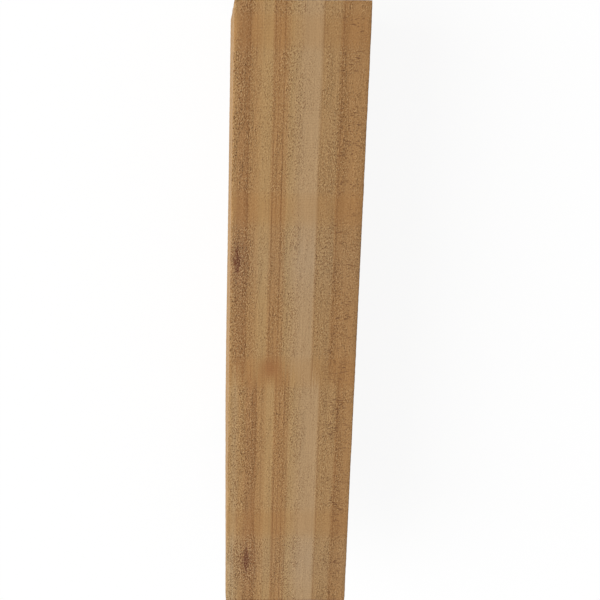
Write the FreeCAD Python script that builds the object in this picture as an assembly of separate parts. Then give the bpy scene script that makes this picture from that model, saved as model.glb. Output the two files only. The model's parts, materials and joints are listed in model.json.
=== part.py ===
"""Knee brace: one rough-sawn square timber, cut to stiffen the corner of a post and a beam.

Both ends are mitred, so that seen from the side the brace is a trapezoid. In use it leans
from the post up to the beam: the beam seat is level, the post seat is plumb, and the long
face looks down and out of the corner. Here the brace lies as it would on a level floor, on
its short face with the long face up.

Frame, in millimetres: X runs along the timber from the nose, at the beam, to the foot, at the
post. Y runs across it and Z is up. The origin is on the short face, midway between the nose
and the foot and at the middle of the width.
"""

import FreeCAD
import Part

import math
import os

INCH = 25.4

# Driving dimensions
timber_width = 6 * INCH  # across the brace, along Y
timber_depth = 6 * INCH  # from the short face to the long face, along Z
brace_rise = 28 * INCH  # plumb height in use, from the beam seat to the foot
brace_run = 20 * INCH  # level reach in use, from the post seat to the nose
arris_radius = 1.5  # the small round left along the sawn timber's four long edges

# Worked out from them
long_face_length = math.hypot(brace_rise, brace_run)
beam_cut_setback = timber_depth * brace_run / brace_rise  # how far the beam seat leans back in
post_cut_setback = timber_depth * brace_rise / brace_run  # how far the post seat leans back in
nose_x = -long_face_length / 2
foot_x = long_face_length / 2
overcut = 50.0  # how far the blank and the cutting tools run past the brace


def timber_section(x):
    """The timber's square section with its four small rounds, as a face square to X at x."""
    half = timber_width / 2
    r = arris_radius
    bulge = r * (1 - math.sqrt(0.5))  # from a corner's two flats to the middle of its round

    def at(y, z):
        return FreeCAD.Vector(x, y, z)

    flats = [
        (at(-half + r, 0), at(half - r, 0)),
        (at(half, r), at(half, timber_depth - r)),
        (at(half - r, timber_depth), at(-half + r, timber_depth)),
        (at(-half, timber_depth - r), at(-half, r)),
    ]
    round_middles = [
        at(half - bulge, bulge),
        at(half - bulge, timber_depth - bulge),
        at(-half + bulge, timber_depth - bulge),
        at(-half + bulge, bulge),
    ]
    edges = []
    for i, (start, end) in enumerate(flats):
        next_start = flats[(i + 1) % len(flats)][0]
        edges.append(Part.LineSegment(start, end).toShape())
        edges.append(Part.Arc(end, round_middles[i], next_start).toShape())
    return Part.Face(Part.Wire(edges))


def sawn_blank():
    """The timber before its ends are cut, a little too long at both ends."""
    length = long_face_length + 2 * overcut
    return timber_section(nose_x - overcut).extrude(FreeCAD.Vector(length, 0, 0))


def end_waste(tip_x, setback, outward):
    """The wood sawn off beyond one end. The cut passes through the tip of the long face and
    leans back by setback at the short face. outward is -1 at the nose and 1 at the foot."""
    lean = setback / timber_depth
    top = timber_depth + overcut
    bottom = -overcut
    far_x = tip_x + outward * (2 * overcut + lean * overcut)

    def cut_x(z):
        return tip_x - outward * lean * (timber_depth - z)

    corners = [(cut_x(bottom), bottom), (cut_x(top), top), (far_x, top), (far_x, bottom)]
    side_y = timber_width / 2 + overcut
    outline = Part.makePolygon([FreeCAD.Vector(x, -side_y, z) for x, z in corners + corners[:1]])
    return Part.Face(outline).extrude(FreeCAD.Vector(0, 2 * side_y, 0))


def knee_brace():
    """The finished brace: the blank with its beam seat and its post seat cut."""
    blank = sawn_blank()
    beam_cut = end_waste(nose_x, beam_cut_setback, -1)
    post_cut = end_waste(foot_x, post_cut_setback, 1)
    return blank.cut(beam_cut).cut(post_cut).Solids[0]


os.makedirs("parts", exist_ok=True)
brace = knee_brace()
brace.exportStep("parts/knee_brace.step")

print(f"long face {long_face_length:.1f} mm, beam seat {math.hypot(timber_depth, beam_cut_setback):.1f} mm")
print(f"post seat {math.hypot(timber_depth, post_cut_setback):.1f} mm, volume {brace.Volume / 1e6:.2f} litres")
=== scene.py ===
import json
import math
from types import SimpleNamespace

import bmesh
import bpy
from mathutils import Matrix, Vector, noise


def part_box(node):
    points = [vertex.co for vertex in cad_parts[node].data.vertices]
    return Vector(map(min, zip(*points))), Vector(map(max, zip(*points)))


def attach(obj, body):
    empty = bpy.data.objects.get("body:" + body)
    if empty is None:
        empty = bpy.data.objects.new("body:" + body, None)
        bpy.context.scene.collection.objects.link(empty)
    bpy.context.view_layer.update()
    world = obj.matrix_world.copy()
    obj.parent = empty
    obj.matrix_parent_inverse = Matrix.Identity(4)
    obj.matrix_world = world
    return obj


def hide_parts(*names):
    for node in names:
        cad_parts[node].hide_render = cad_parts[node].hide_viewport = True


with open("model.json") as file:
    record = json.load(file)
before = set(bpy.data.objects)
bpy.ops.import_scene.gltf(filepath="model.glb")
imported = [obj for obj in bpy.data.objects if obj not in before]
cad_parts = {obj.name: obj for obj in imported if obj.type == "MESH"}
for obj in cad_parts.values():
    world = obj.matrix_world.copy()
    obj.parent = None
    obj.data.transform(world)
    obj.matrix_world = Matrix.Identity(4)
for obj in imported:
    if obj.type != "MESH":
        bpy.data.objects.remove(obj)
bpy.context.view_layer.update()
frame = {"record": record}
mounts = {mount["name"]: mount for mount in frame["record"]["mounts"]}

timber = {
    "node": "knee_brace",
    "body": "root",
    "slot": "sawn_cedar",
    "edgeRows": (0.0006, 0.0015),  # rows of faces close to every arris, in metres from it
    "rowsAlong": 316,
    "rowsAcross": 65,
    "rowsDeep": 60,
    "arrisRound": 0.0030,  # reach of the blend over an arris, a quarter of it is lost at the corner
    "arrisWear": 0.45,  # how much that reach varies along the arris
}

# heights in metres of what the saw and the growth rings left on the sawn faces
sawn = {
    "sway": 0.00035,
    "ridges": 0.00016,
    "fineRidges": 0.00010,
    "chatter": 0.00013,
    "chatterOnLong": 0.00007,
    "chatterEvery": 0.0105,
    "chatterLean": 0.07,
    "endRings": 0.00008,
}

# noises drawn out along the grain: metres along it, metres across it, and a seed
sawnStreaks = {
    "sway": (0.22, 0.07, 3),
    "ridges": (0.16, 0.0042, 11),
    "fineRidges": (0.07, 0.0023, 17),
    "chatterPhase": (0.06, 0.2, 29),
    "chatterShow": (0.09, 0.05, 37),
}

# where the tree's heart lay, in millimetres, seen along the timber
heart = {
    "fromLeft": 120,  # out beyond the left side face
    "height": 60,  # above the short face
    "wander": 34,  # how far the rings stray below the long face
    "ringWidth": 3.8,
    "fineRingWidth": 1.35,
}

# small knots: distance from the nose along the long face and from its left arris, in millimetres
knots = [
    {"along": 348, "across": 7.8, "core": 2.9},
    {"along": 806, "across": 25.5, "core": 2.5},
]
knotHeight = {"proud": 0.00035, "proudReach": (15, 4), "dish": 0.0002, "dishReach": (34, 11)}

low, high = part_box(timber["node"])
noseX, footX = low.x, high.x
leftY, rightY = low.y, high.y
floorZ, longZ = low.z, high.z
timberDepth = 1000 * (longZ - floorZ)  # in millimetres


def plane(mountName):
    mount = mounts[mountName]
    return Vector(mount["pos_m"]), Vector(mount["axis"])


def seatX(mountName, z):
    # where a seat crosses height z
    place, axis = plane(mountName)
    return place.x - axis.z * (z - place.z) / axis.x


beamPlane = plane("beam_seat")
postPlane = plane("post_seat")
timberPlanes = {
    "long": (Vector((0, 0, longZ)), Vector((0, 0, 1))),
    "short": (Vector((0, 0, floorZ)), Vector((0, 0, -1))),
    "left": (Vector((0, leftY, 0)), Vector((0, -1, 0))),
    "right": (Vector((0, rightY, 0)), Vector((0, 1, 0))),
    "beam": beamPlane,
    "post": postPlane,
}


def inside(point, faceName):
    # how deep a point lies below one of the six sawn faces
    place, axis = timberPlanes[faceName]
    return (place - point).dot(axis)


def sawnBlock():
    block = bmesh.new()
    bmesh.ops.create_cube(block, size=1)
    for corner in block.verts:
        z = longZ if corner.co.z > 0 else floorZ
        seat = "post_seat" if corner.co.x > 0 else "beam_seat"
        corner.co = (seatX(seat, z), rightY if corner.co.y > 0 else leftY, z)
    for place, axis in timberPlanes.values():
        for depth in timber["edgeRows"]:
            everything = block.verts[:] + block.edges[:] + block.faces[:]
            bmesh.ops.bisect_plane(block, geom=everything, plane_co=place - axis * depth, plane_no=axis)
    return block


def rows(block, count, runsThatWay):
    # cut every long edge that runs one way into equal lengths
    chosen = []
    for edge in block.edges:
        run = edge.verts[1].co - edge.verts[0].co
        if run.length > 0.02 and runsThatWay(run.normalized()):
            chosen.append(edge)
    bmesh.ops.subdivide_edges(block, edges=chosen, cuts=count, use_grid_fill=True)


def softCorner(point, amount):
    # pull a point near an arris inwards, so that the two faces blend into each other
    faces = sorted(timberPlanes, key=lambda name: inside(point, name))[:3]
    pull = Vector((0, 0, 0))
    nearest = timberPlanes[faces[0]][1]
    for other in faces[1:]:
        gap = inside(point, other) - inside(point, faces[0])
        if gap < amount:
            closeness = (amount - gap) / amount
            side = timberPlanes[other][1]
            blend = (nearest * (2 - closeness) + side * closeness).normalized()
            pull -= blend * closeness ** 2 * amount / 4
    return pull


def streak(point, name):
    along, across, seed = sawnStreaks[name]
    return noise.noise(Vector((point.x / along, point.y / across, point.z / across + seed)))


def knotRelief(point):
    # a knot stands a little proud in the dish that the saw tore round it
    rise = 0
    for knot in knots:
        past = 1000 * (point.x - noseX) - knot["along"]
        aside = 1000 * (point.y - leftY) - knot["across"]
        for height, (long, wide) in (
            (knotHeight["proud"], knotHeight["proudReach"]),
            (-knotHeight["dish"], knotHeight["dishReach"]),
        ):
            rise += height * math.exp(-((past / long) ** 2) - (aside / wide) ** 2)
    return rise


def surfaceRelief(point, faceName):
    # height of the sawn surface above its flat face, in metres
    sway = sawn["sway"] * streak(point, "sway")
    if faceName in ("beam", "post"):
        rings = noise.noise(Vector((point.x * 9, point.y * 420, point.z * 420)))
        return 0.5 * sway + sawn["endRings"] * rings
    ridges = sawn["ridges"] * streak(point, "ridges")
    ridges += sawn["fineRidges"] * streak(point, "fineRidges")
    lean = sawn["chatterLean"] * (point.z if faceName in ("left", "right") else point.y)
    phase = (point.x + lean) / sawn["chatterEvery"] + 1.6 * streak(point, "chatterPhase")
    marks = 0.5 + 0.5 * streak(point, "chatterShow")
    chatter = sawn["chatterOnLong"] if faceName == "long" else sawn["chatter"]
    knotRise = knotRelief(point) if faceName == "long" else 0
    return sway + ridges + knotRise + chatter * marks * math.sin(2 * math.pi * phase)


def buildTimber():
    block = sawnBlock()
    rows(block, timber["rowsAlong"], lambda run: abs(run.x) > 0.999)
    rows(block, timber["rowsAcross"], lambda run: abs(run.y) > 0.999)
    rows(block, timber["rowsDeep"], lambda run: abs(run.z) > 0.4)
    block.normal_update()
    for vert in block.verts:
        point = vert.co.copy()
        faceName = min(timberPlanes, key=lambda name: inside(point, name))
        knocks = noise.noise(Vector((point.x * 38, point.y * 30, point.z * 30)))
        wear = 1 + timber["arrisWear"] * 2 * knocks
        vert.co = point + softCorner(point, timber["arrisRound"] * wear)
        vert.co += vert.normal * surfaceRelief(point, faceName)
    for face in block.faces:
        face.smooth = True
    mesh = bpy.data.meshes.new("timber")
    block.to_mesh(mesh)
    block.free()
    piece = bpy.data.objects.new("timber", mesh)
    bpy.context.scene.collection.objects.link(piece)
    return piece


class Wire:
    # one socket of a shader tree; sums on it add the nodes that work them out
    def __init__(self, tree, socket=None):
        self.tree = tree
        self.socket = socket

    def node(self, kind, settings, inputs, output=0):
        made = self.tree.nodes.new("ShaderNode" + kind)
        for name, value in settings.items():
            if name == "stops":
                fillRamp(made.color_ramp, value)
            else:
                setattr(made, name, value)
        for name, value in inputs.items():
            if isinstance(value, Wire):
                self.tree.links.new(value.socket, made.inputs[name])
            else:
                made.inputs[name].default_value = value
        return Wire(self.tree, made.outputs[output])

    def maths(self, operation, *values):
        return self.node("Math", {"operation": operation}, dict(enumerate(values)))

    def __add__(self, other):
        return self.maths("ADD", self, other)

    def __radd__(self, other):
        return self.maths("ADD", other, self)

    def __sub__(self, other):
        return self.maths("SUBTRACT", self, other)

    def __rsub__(self, other):
        return self.maths("SUBTRACT", other, self)

    def __mul__(self, other):
        return self.maths("MULTIPLY", self, other)

    def __rmul__(self, other):
        return self.maths("MULTIPLY", other, self)

    def __truediv__(self, other):
        return self.maths("DIVIDE", self, other)

    def __pow__(self, other):
        return self.maths("POWER", self, other)


def fillRamp(ramp, stops):
    while len(ramp.elements) < len(stops):
        ramp.elements.new(1)
    for element, (position, colour) in zip(ramp.elements, stops):
        element.position = position
        element.color = colour


def srgb(red, green, blue):
    # a colour as a paint chip gives it, 0 to 255, as the linear light that shaders use
    def linear(value):
        share = value / 255
        return share / 12.92 if share <= 0.04045 else ((share + 0.055) / 1.055) ** 2.4

    return (linear(red), linear(green), linear(blue), 1)


def grey(value):
    return (value, value, value, 1)


def ease(value, start, end):
    # 0 before start, 1 after end, smooth between
    inputs = {"Value": value, "From Min": start, "From Max": end, "To Min": 0, "To Max": 1}
    return value.node("MapRange", {"interpolation_type": "SMOOTHSTEP"}, inputs)


def vector(x, y, z):
    source = next(value for value in (x, y, z) if isinstance(value, Wire))
    return source.node("CombineXYZ", {}, {"X": x, "Y": y, "Z": z})


# the wood's noises: lengths in millimetres along, across and up, then detail, roughness and shift
cedarGrain = {
    "drift": ((330, 150, 150), 1.5, 0.5, 9.7),  # wander of the rings down the tree
    "bandEdge": ((160, 6, 6), 3, 0.55, 2.2),  # how the bands' edges waver
    "fingers": ((500, 2.6, 2.6), 2, 0.7, 6.1),  # long fingers of grain at the jog
    "lineShow": ((140, 5, 5), 2, 0.5, 5.2),  # where the dark lines come and go
    "tremble": ((11, 1.8, 1.8), 2, 0.6, 15.3),  # uneven edge of a knot's core
    "ringWidth": ((13, 1, 1), 2, 0.5, 4.4),
    "ringShow": ((4.5, 1, 1), 2, 0.5, 1.9),
    "fineRingWidth": ((6, 1, 1), 2, 0.5, 20.3),
    "ringTone": ((2.2, 1, 1), 3, 0.7, 7.7),
    "sideTone": ((8, 1, 1), 2, 0.5, 17.7),
    "fibre": ((2.4, 1.3, 1.3), 2.5, 0.7, 1.3),  # torn up by the saw
    "tornPatch": ((44, 8, 8), 2, 0.55, 3.9),
    "pitWithPaintedShade": ((2.8, 1.5, 1.5), 1.5, 0.6, 12.5),
    "streak": ((38, 1.5, 1.5), 3, 0.65, 6.6),
    "broad": ((200, 8, 8), 2, 0.5, 8.8),
    "tickRow": ((30, 60, 60), 1, 0.5, 19.1),
    "tick": ((1.5, 5, 5), 1.5, 0.5, 18.4),  # short dark marks square to the grain
    "dash": ((26, 2.2, 2.2), 3, 0.65, 14.2),
    "sawWave": ((55, 220, 220), 1, 0.5, 3.3),
    "sawShow": ((45, 26, 26), 2, 0.5, 10.1),
}


def grain(place, name):
    # one of those noises, 0 to 1
    sizes, detail, roughness, shift = cedarGrain[name]
    scale = tuple(1 / size for size in sizes)
    moved = place.node("VectorMath", {"operation": "MULTIPLY"}, {0: place, 1: scale})
    moved = place.node("VectorMath", {"operation": "ADD"}, {0: moved, 1: (shift, shift * 1.7, shift * 0.6)})
    inputs = {"Vector": moved, "Scale": 1, "Detail": detail, "Roughness": roughness}
    return place.node("TexNoise", {"noise_dimensions": "3D"}, inputs)


def blendColour(amount, first, second):
    settings = {"data_type": "RGBA", "blend_type": "MIX", "clamp_factor": True}
    return amount.node("Mix", settings, {0: amount, 6: first, 7: second}, output=2)


def tintColour(amount, colour, tint):
    tinted = amount.node("VectorMath", {"operation": "MULTIPLY"}, {0: colour, 1: tint})
    return blendColour(amount, colour, tinted)


cedarColours = {
    "honey": srgb(166, 128, 82),
    "russet": srgb(155, 114, 71),
    "deep": srgb(149, 107, 64),
    "amber": srgb(162, 121, 75),
    "straw": srgb(168, 133, 87),
    "tan": srgb(167, 134, 90),
    "paleTan": srgb(170, 139, 101),
    "brown": srgb(159, 124, 81),
    "umber": srgb(151, 111, 67),
    "clay": srgb(158, 118, 73),
    "line": srgb(116, 76, 40),
    # partly painted light: a paler cream that stands for the brighter light on the left side, where these
    # bands show
    "cream": srgb(173, 141, 99),
    "healed": srgb(149, 104, 62),
    "paleEdge": srgb(178, 152, 112),
    # painted shade in the hollows between torn fibres
    "furrowPaintedShade": srgb(118, 75, 35),
    # the raised fibres' paler colour with a painted highlight on them
    "fluffWithPaintedHighlight": srgb(206, 170, 122),
    # painted shade in the small pits of the torn surface
    "pitWithPaintedShade": srgb(94, 60, 30),
    "dash": srgb(118, 76, 42),
    "tick": srgb(98, 60, 32),
    "stain": srgb(138, 90, 60),
    # raised fibres in a knot's stain, paler and with a painted highlight on them
    "stainedFluffWithPaintedHighlight": srgb(196, 158, 118),
    "core": srgb(92, 42, 22),
}

# what the wood's own colour is multiplied by
cedarTints = {
    "late": (0.46, 0.34, 0.26),
    "calm": (0.97, 0.92, 0.84),
    "chalk": (0.975, 1.02, 1.13),
    "endCut": (0.74, 0.66, 0.58),
}

# bands of heartwood colour, by their distance from the left arris of the long face in millimetres;
# those below zero lie nearer the heart and show on the left side and where the grain jogs;
# their cream is partly painted light, paler to stand for the brighter light on the left side
cedarBands = [
    (-34, "straw"),
    (-24, "cream"),
    (-14, "straw"),
    (-7, "cream"),
    (-1.5, "honey"),
    (2, "honey"),
    (8, "russet"),
    (13, "russet"),
    (15.5, "deep"),
    (18.6, "deep"),
    (19.6, "amber"),
    (30, "honey"),
    (34, "straw"),
    (43, "straw"),
    (46, "amber"),
    (58, "amber"),
    (66, "tan"),
    (80, "paleTan"),
    (97, "paleTan"),
    (101, "brown"),
    (118, "brown"),
    (121, "umber"),
    (127, "umber"),
    (131, "clay"),
    (146, "clay"),
    (154, "umber"),
]

# thin dark lines of late wood between the bands: the same distances, and how dark each is
cedarLines = [
    (14.2, 0.3),
    (18.9, 0.8),
    (26, 0.25),
    (46.9, 0.95),
    (51.6, 0.6),
    (57.3, 0.9),
    (61.8, 0.5),
    (100.2, 0.5),
    (122.4, 0.7),
]
lineWidth = 1.9

# how rough the saw left each band: the same distances, 0 smooth to 1 torn
tornBands = [
    (-34, 0.5),
    (0, 1.2),
    (17, 1.1),
    (24, 0.85),
    (33, 0.66),
    (42, 0.6),
    (47, 0.9),
    (62, 0.9),
    (78, 0.85),
    (84, 0.5),
    (97, 0.4),
    (101, 0.9),
    (126, 1.0),
    (132, 0.7),
    (154, 0.72),
]

# where the grain steps sideways, in millimetres from the nose, and how far it steps
jog = {"start": 494, "end": 530, "size": 10.7, "moreOnLeft": 4.6, "leftOf": 38, "rightOf": 58}

# ovals on the long face: a smooth healed place beside the jog, and a paler stretch of the left arris
healed = {"along": 503, "across": 50, "long": 16, "wide": 12}
paleEdge = {"along": 862, "across": 5, "long": 80, "wide": 9}

# smoother, warmer places where the saw rested, in millimetres from the nose
sawRest = {"first": 40, "every": 235}

# fine marks of the saw on every face, in millimetres
sawLines = {"every": 3.4, "lean": 0.05, "unevenness": 3}

# how far a knot's marks reach, in millimetres along the grain and across it
knotReach = {"bend": (34, 7), "stain": (36, 8), "core": 24, "spindle": 10, "chalk": 50, "tremble": 4.5}


def ringRadius(across):
    # distance from the heart to a point of the long face
    return math.hypot(across + heart["fromLeft"], timberDepth - heart["height"])


ringStart = ringRadius(cedarBands[0][0])
ringEnd = ringRadius(cedarBands[-1][0])


def bandStops(bands, colourOf):
    span = ringEnd - ringStart
    return [((ringRadius(across) - ringStart) / span, colourOf(value)) for across, value in bands]


def lineProfile():
    # each line rises from nothing and falls back to it
    profile = [(cedarBands[0][0], 0)]
    for across, dark in cedarLines:
        profile += [(across - lineWidth / 2, 0), (across, dark), (across + lineWidth / 2, 0)]
    return profile


def timberPlace(start):
    # millimetres along from the nose, across from the left arris and up from the short face
    place = start.node("TexCoord", {}, {}, output="Object")
    place = start.node("VectorMath", {"operation": "SUBTRACT"}, {0: place, 1: (noseX, leftY, floorZ)})
    place = start.node("VectorMath", {"operation": "SCALE"}, {0: place, "Scale": 1000})
    along = start.node("SeparateXYZ", {}, {"Vector": place}, output="X")
    parts = along.socket.node.outputs
    across = Wire(start.tree, parts["Y"])
    height = Wire(start.tree, parts["Z"])
    below = ease(height, timberDepth - 1, timberDepth - 5)  # 0 on the long face, 1 further down
    return SimpleNamespace(place=place, along=along, across=across, height=height, below=below)


def fade(squared):
    # 1 where the squared distance is 0, falling away like a bell
    return squared.maths("EXPONENT", squared * -1)


def oval(spot, where):
    # 1 in the middle of an oval on the long face, falling away to 0
    past = (spot.along - where["along"]) / where["long"]
    aside = (spot.across - where["across"]) / where["wide"]
    return fade(past ** 2 + aside ** 2)


def knotMarks(spot):
    # each knot runs straight out from the heart: the bend of the rings, the stain, the core and the chalk
    tremble = knotReach["tremble"] * (grain(spot.place, "tremble") - 0.5)
    bend, stain, core, chalk = 0, 0, 0, 0
    for knot in knots:
        outY = knot["across"] + heart["fromLeft"]
        outZ = timberDepth - heart["height"]
        reach = math.hypot(outY, outZ)
        past = spot.along - knot["along"]
        aside = (spot.across - knot["across"]) * (outZ / reach)
        aside = aside - (spot.height - timberDepth) * (outY / reach)

        def around(long, wide):
            return fade((past / long) ** 2 + (aside / wide) ** 2)

        bend = aside * around(*knotReach["bend"]) + bend
        stain = around(*knotReach["stain"]) + stain
        # the core is a spindle: wide in the middle, drawn out to a thin streak both ways
        girth = knot["core"] * (0.4 + 0.6 * fade((past / knotReach["spindle"]) ** 2))
        spindle = fade((past / knotReach["core"]) ** 2 + ((aside + tremble) / girth) ** 2)
        core = ease(spindle, 0.1, 0.75) + core
        chalk = fade((past / knotReach["chalk"]) ** 2) + chalk
    return SimpleNamespace(bend=bend, stain=stain, core=core, chalk=chalk)


def ringsAt(spot, across, bend):
    # distance from the heart, in millimetres, with the wander of the rings below the long face
    outY = across + heart["fromLeft"]
    outZ = spot.height - heart["height"]
    radius = (outY * outY + outZ * outZ) ** 0.5
    depthShare = 1 - spot.height / timberDepth
    drift = grain(spot.place, "drift") - 0.5
    wander = 2 * heart["wander"] * drift + 0.02 * (spot.along - 400)
    return radius + depthShare * wander - 0.75 * bend


def endCutMask(spot):
    # 1 on the two sawn seats, 0 on the long grain
    total = 0
    for seatPlace, axis in (beamPlane, postPlane):
        origin = (seatPlace - Vector((noseX, leftY, floorZ))) * 1000
        inputs = {0: spot.place, 1: tuple(axis)}
        reach = spot.place.node("VectorMath", {"operation": "DOT_PRODUCT"}, inputs, output="Value")
        total = ease(reach - origin.dot(axis), -1.6, -0.9) + total
    return total


def cedarBanding(spot, radius, bend):
    # the bands' colour and how torn each is; past the jog they lie further from the left arris
    step = jog["size"] + jog["moreOnLeft"] * ease(spot.across, jog["rightOf"], jog["leftOf"])
    jogged = ringsAt(spot, spot.across - step, bend)
    past = ease(spot.along + 110 * (grain(spot.place, "fingers") - 0.5), jog["start"], jog["end"])
    ragged = 2.4 * (grain(spot.place, "bandEdge") - 0.5)
    shares = [(ring + ragged - ringStart) / (ringEnd - ringStart) for ring in (radius, jogged)]

    def banded(stops):
        ramps = [spot.place.node("ValToRGB", {"stops": stops}, {"Fac": share}) for share in shares]
        return blendColour(past, *ramps)

    lineShow = ease(grain(spot.place, "lineShow"), 0.3, 0.6)
    dark = banded(bandStops(lineProfile(), grey)) * (0.45 + 0.55 * lineShow)
    colour = blendColour(dark, banded(bandStops(cedarBands, cedarColours.get)), cedarColours["line"])
    return colour, banded(bandStops(tornBands, grey))


def lateWood(turns, start, end):
    # each ring darkens slowly outwards and ends sharply
    turn = turns.maths("FRACT", turns)
    return ease(turn, start, end) * (1 - ease(turn, end, 1))


def growthRings(ringPlace, radius):
    # uneven in width and in how dark their late wood is, coarse rings and finer ones
    coarse = lateWood(radius / heart["ringWidth"] + 3 * grain(ringPlace, "ringWidth"), 0.4, 0.93)
    fine = lateWood(radius / heart["fineRingWidth"] + 2 * grain(ringPlace, "fineRingWidth"), 0.3, 0.88)
    return coarse * ease(grain(ringPlace, "ringShow"), 0.35, 0.7), fine


def tornFibre(spot, torn, stain, calm, patch):
    # fibres torn up by the saw, leaning across the grain, in patches with slanting ends; their colour
    # paints shade in the hollows between fibres and in the pits, and a highlight on the raised fibres'
    # paler colour
    leaning = vector(spot.along + 0.8 * spot.across + 0.8 * spot.height, spot.across, spot.height)
    slanting = vector(spot.along + 2.4 * spot.across + 2.4 * spot.height, spot.across, spot.height)
    fibre = grain(leaning, "fibre")
    patches = ease(grain(slanting, "tornPatch"), 0.40, 0.54)
    rough = torn * (0.5 + 0.45 * patches) * (1 - 0.55 * calm) + 0.6 * stain
    return SimpleNamespace(
        height=fibre,
        furrowPaintedShade=ease(fibre, 0.5, 0.36),
        fluffWithPaintedHighlight=ease(fibre, 0.5, 0.64),
        pitsWithPaintedShade=ease(grain(leaning, "pitWithPaintedShade"), 0.595, 0.67),
        patches=patches,
        rough=rough * (1 - 0.7 * patch),
    )


def tickMarks(spot):
    # rows of short dark ticks near the right arris of the long face
    ticks = ease(grain(spot.place, "tick"), 0.58, 0.66) * ease(grain(spot.place, "tickRow"), 0.36, 0.55)
    ticks = ticks * ease(spot.across, 104, 128) * (1 - 0.6 * ease(spot.across, 140, 150))
    return ticks * (1 - spot.below)


def sawWaves(spot):
    lean = sawLines["lean"]
    phase = (spot.along + lean * spot.across + lean * spot.height) / sawLines["every"]
    phase = phase + sawLines["unevenness"] * grain(spot.place, "sawWave")
    wave = phase.maths("SINE", 2 * math.pi * phase)
    return wave * ease(grain(spot.place, "sawShow"), 0.42, 0.62)


def sawnCedar():
    material = bpy.data.materials.new("sawnCedar")
    material.use_nodes = True
    tree = material.node_tree
    shader = tree.nodes["Principled BSDF"]
    spot = timberPlace(Wire(tree))
    below = spot.below
    above = 1 - below

    # rings, bands and the marks on them
    knot = knotMarks(spot)
    radius = ringsAt(spot, spot.across, knot.bend)
    colour, torn = cedarBanding(spot, radius, knot.bend)
    ringPlace = vector(radius, spot.along / 500, 0)
    late, fineLate = growthRings(ringPlace, radius)
    patch = oval(spot, healed) * ease(spot.height, 120, 150)
    colour = blendColour(patch, colour, cedarColours["healed"])
    wave = (spot.along - sawRest["first"]) * (2 * math.pi / sawRest["every"])
    calm = ease(wave.maths("COSINE", wave), 0.7, 1)
    torn = torn * (1 - below * (0.3 + 0.15 * ease(spot.across, 120, 150)))
    fibre = tornFibre(spot, torn, knot.stain, calm, patch)
    streaks = grain(spot.place, "streak") - 0.5
    waves = sawWaves(spot)

    # shades of the wood itself
    shade = 1 + 0.11 * streaks + 0.16 * (grain(spot.place, "broad") - 0.5)
    shade = shade + 0.08 * (grain(ringPlace, "ringTone") - 0.5)
    shade = shade + 0.42 * below * (grain(ringPlace, "sideTone") - 0.5)
    shade = shade + (0.035 + 0.03 * below) * waves
    colour = colour.node("VectorMath", {"operation": "SCALE"}, {0: colour, "Scale": shade})
    pale = oval(spot, paleEdge) * above * (0.2 + 0.8 * ease(streaks, -0.1, 0.15))
    colour = blendColour(pale, colour, cedarColours["paleEdge"])
    lateAmount = (0.11 + 0.42 * below) * late + (0.07 + 0.25 * below) * fineLate
    colour = tintColour(lateAmount, colour, cedarTints["late"])
    colour = tintColour(calm * above, colour, cedarTints["calm"])
    colour = tintColour(knot.chalk * above, colour, cedarTints["chalk"])

    # marks laid over it, one after another: painted shade in the torn fibres' hollows and pits, a painted
    # highlight on their raised tops, and the wood's own dashes, ticks, knot stain and core
    dashes = ease(grain(spot.place, "dash"), 0.56, 0.68) * torn * fibre.patches
    overlays = [
        ("furrowPaintedShade", 0.8 * fibre.rough * fibre.furrowPaintedShade),
        ("fluffWithPaintedHighlight", 0.6 * fibre.rough * fibre.fluffWithPaintedHighlight),
        ("pitWithPaintedShade", 0.85 * fibre.rough * fibre.pitsWithPaintedShade),
        ("dash", 0.32 * dashes),
        ("tick", 0.75 * tickMarks(spot)),
        ("stain", knot.stain * (0.1 + 0.4 * fibre.furrowPaintedShade)),
        ("stainedFluffWithPaintedHighlight", 0.5 * knot.stain * fibre.fluffWithPaintedHighlight),
        ("core", knot.core * (0.68 + 0.3 * fibre.furrowPaintedShade - 0.3 * fibre.fluffWithPaintedHighlight)),
    ]
    for name, amount in overlays:
        colour = blendColour(amount, colour, cedarColours[name])
    endCut = endCutMask(spot)
    colour = tintColour(endCut, colour, cedarTints["endCut"])
    tree.links.new(colour.socket, shader.inputs["Base Color"])

    # roughness and fine height
    roughness = 0.78 + 0.14 * fibre.rough - 0.05 * late + 0.05 * endCut
    tree.links.new(roughness.socket, shader.inputs["Roughness"])
    shader.inputs["Specular IOR Level"].default_value = 0.3
    height = fibre.rough * (1.1 * fibre.height - 0.30 * fibre.pitsWithPaintedShade) + 0.05 * late + 0.10 * streaks
    height = height + (0.02 + 0.1 * below) * waves
    bump = height.node("Bump", {}, {"Strength": 1.0, "Distance": 0.001, "Height": height}, output="Normal")
    tree.links.new(bump.socket, shader.inputs["Normal"])
    return material


piece = buildTimber()
piece.data.materials.append(sawnCedar())
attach(piece, timber["body"])
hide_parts(timber["node"])
print("timber:", len(piece.data.polygons), "faces")


studio = {
    "floorSize": 30,
    "floorGap": 0.0006,  # below the timber's short face
    "floorColour": grey(0.95),
    "floorGlow": 0.9,  # how much of its own white the floor shows to the camera
    "skyStrength": 0.57,  # as light on the timber; the camera sees 1
    "keyFrom": (-0.35, -1.15, 0.95),
    "keySpread": 50,  # degrees
    "keyStrength": 2.56,
}

view = {
    "place": (-1.8915, -0.1424, 2.8009),
    "ahead": (0.5742, 0.0461, -0.8187),
    "up": (-0.8137, 0, -0.5812),
    "lens": 164.4,
}


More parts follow.
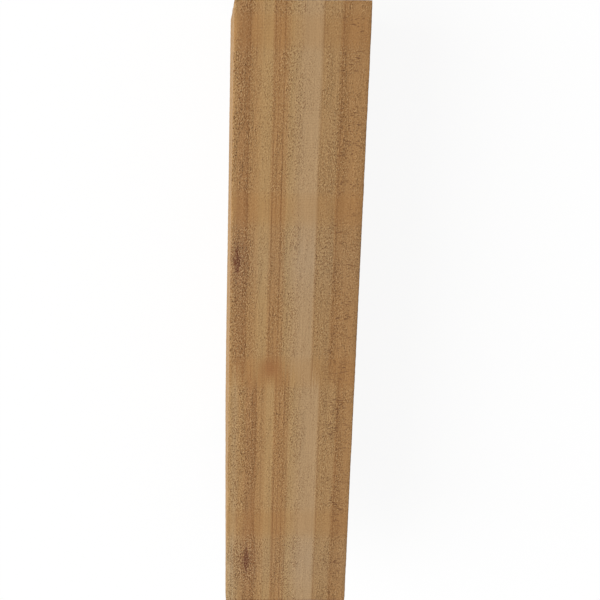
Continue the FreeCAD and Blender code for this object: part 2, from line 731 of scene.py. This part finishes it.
def buildFloor():
    floorMesh = bpy.data.meshes.new("floor")
    shape = bmesh.new()
    bmesh.ops.create_grid(shape, x_segments=1, y_segments=1, size=studio["floorSize"] / 2)
    shape.to_mesh(floorMesh)
    shape.free()
    floor = bpy.data.objects.new("floor", floorMesh)
    bpy.context.scene.collection.objects.link(floor)
    floor.location.z = floorZ - studio["floorGap"]
    material = bpy.data.materials.new("paleFloor")
    material.use_nodes = True
    tree = material.node_tree
    shader = tree.nodes["Principled BSDF"]
    shader.inputs["Base Color"].default_value = studio["floorColour"]
    shader.inputs["Roughness"].default_value = 0.9
    shader.inputs["Specular IOR Level"].default_value = 0
    start = Wire(tree)
    seen = start.node("LightPath", {}, {}, output="Is Camera Ray")
    matt = Wire(tree, shader.outputs["BSDF"])
    white = start.node("Emission", {}, {"Color": grey(1), "Strength": 1})
    shown = start.node("MixShader", {}, {0: studio["floorGlow"] * seen, 1: matt, 2: white})
    tree.links.new(shown.socket, tree.nodes["Material Output"].inputs["Surface"])
    floorMesh.materials.append(material)


def buildLight():
    world = bpy.data.worlds.new("studio")
    bpy.context.scene.world = world
    world.use_nodes = True
    tree = world.node_tree
    start = Wire(tree)
    seenDirectly = start.node("LightPath", {}, {}, output="Is Camera Ray")
    mirrored = Wire(tree, seenDirectly.socket.node.outputs["Is Glossy Ray"])
    seen = seenDirectly.maths("MAXIMUM", seenDirectly, mirrored)
    strength = studio["skyStrength"] + (1 - studio["skyStrength"]) * seen
    sky = tree.nodes["Background"]
    sky.inputs["Color"].default_value = grey(1)
    tree.links.new(strength.socket, sky.inputs["Strength"])

    lamp = bpy.data.lights.new("key", "SUN")
    lamp.angle = math.radians(studio["keySpread"])
    lamp.energy = studio["keyStrength"]
    key = bpy.data.objects.new("key", lamp)
    bpy.context.scene.collection.objects.link(key)
    key.location = Vector(studio["keyFrom"])
    key.rotation_euler = key.location.to_track_quat("Z", "Y").to_euler()


def buildCamera():
    camera = bpy.data.objects.new("camera", bpy.data.cameras.new("camera"))
    bpy.context.scene.collection.objects.link(camera)
    back = -Vector(view["ahead"]).normalized()
    right = Vector(view["up"]).cross(back).normalized()
    camera.matrix_world = Matrix((right, back.cross(right), back)).transposed().to_4x4()
    camera.location = view["place"]
    camera.data.lens = view["lens"]
    bpy.context.scene.camera = camera


buildFloor()
buildLight()
buildCamera()
bpy.context.scene.view_settings.view_transform = "Standard"
print("studio ready")
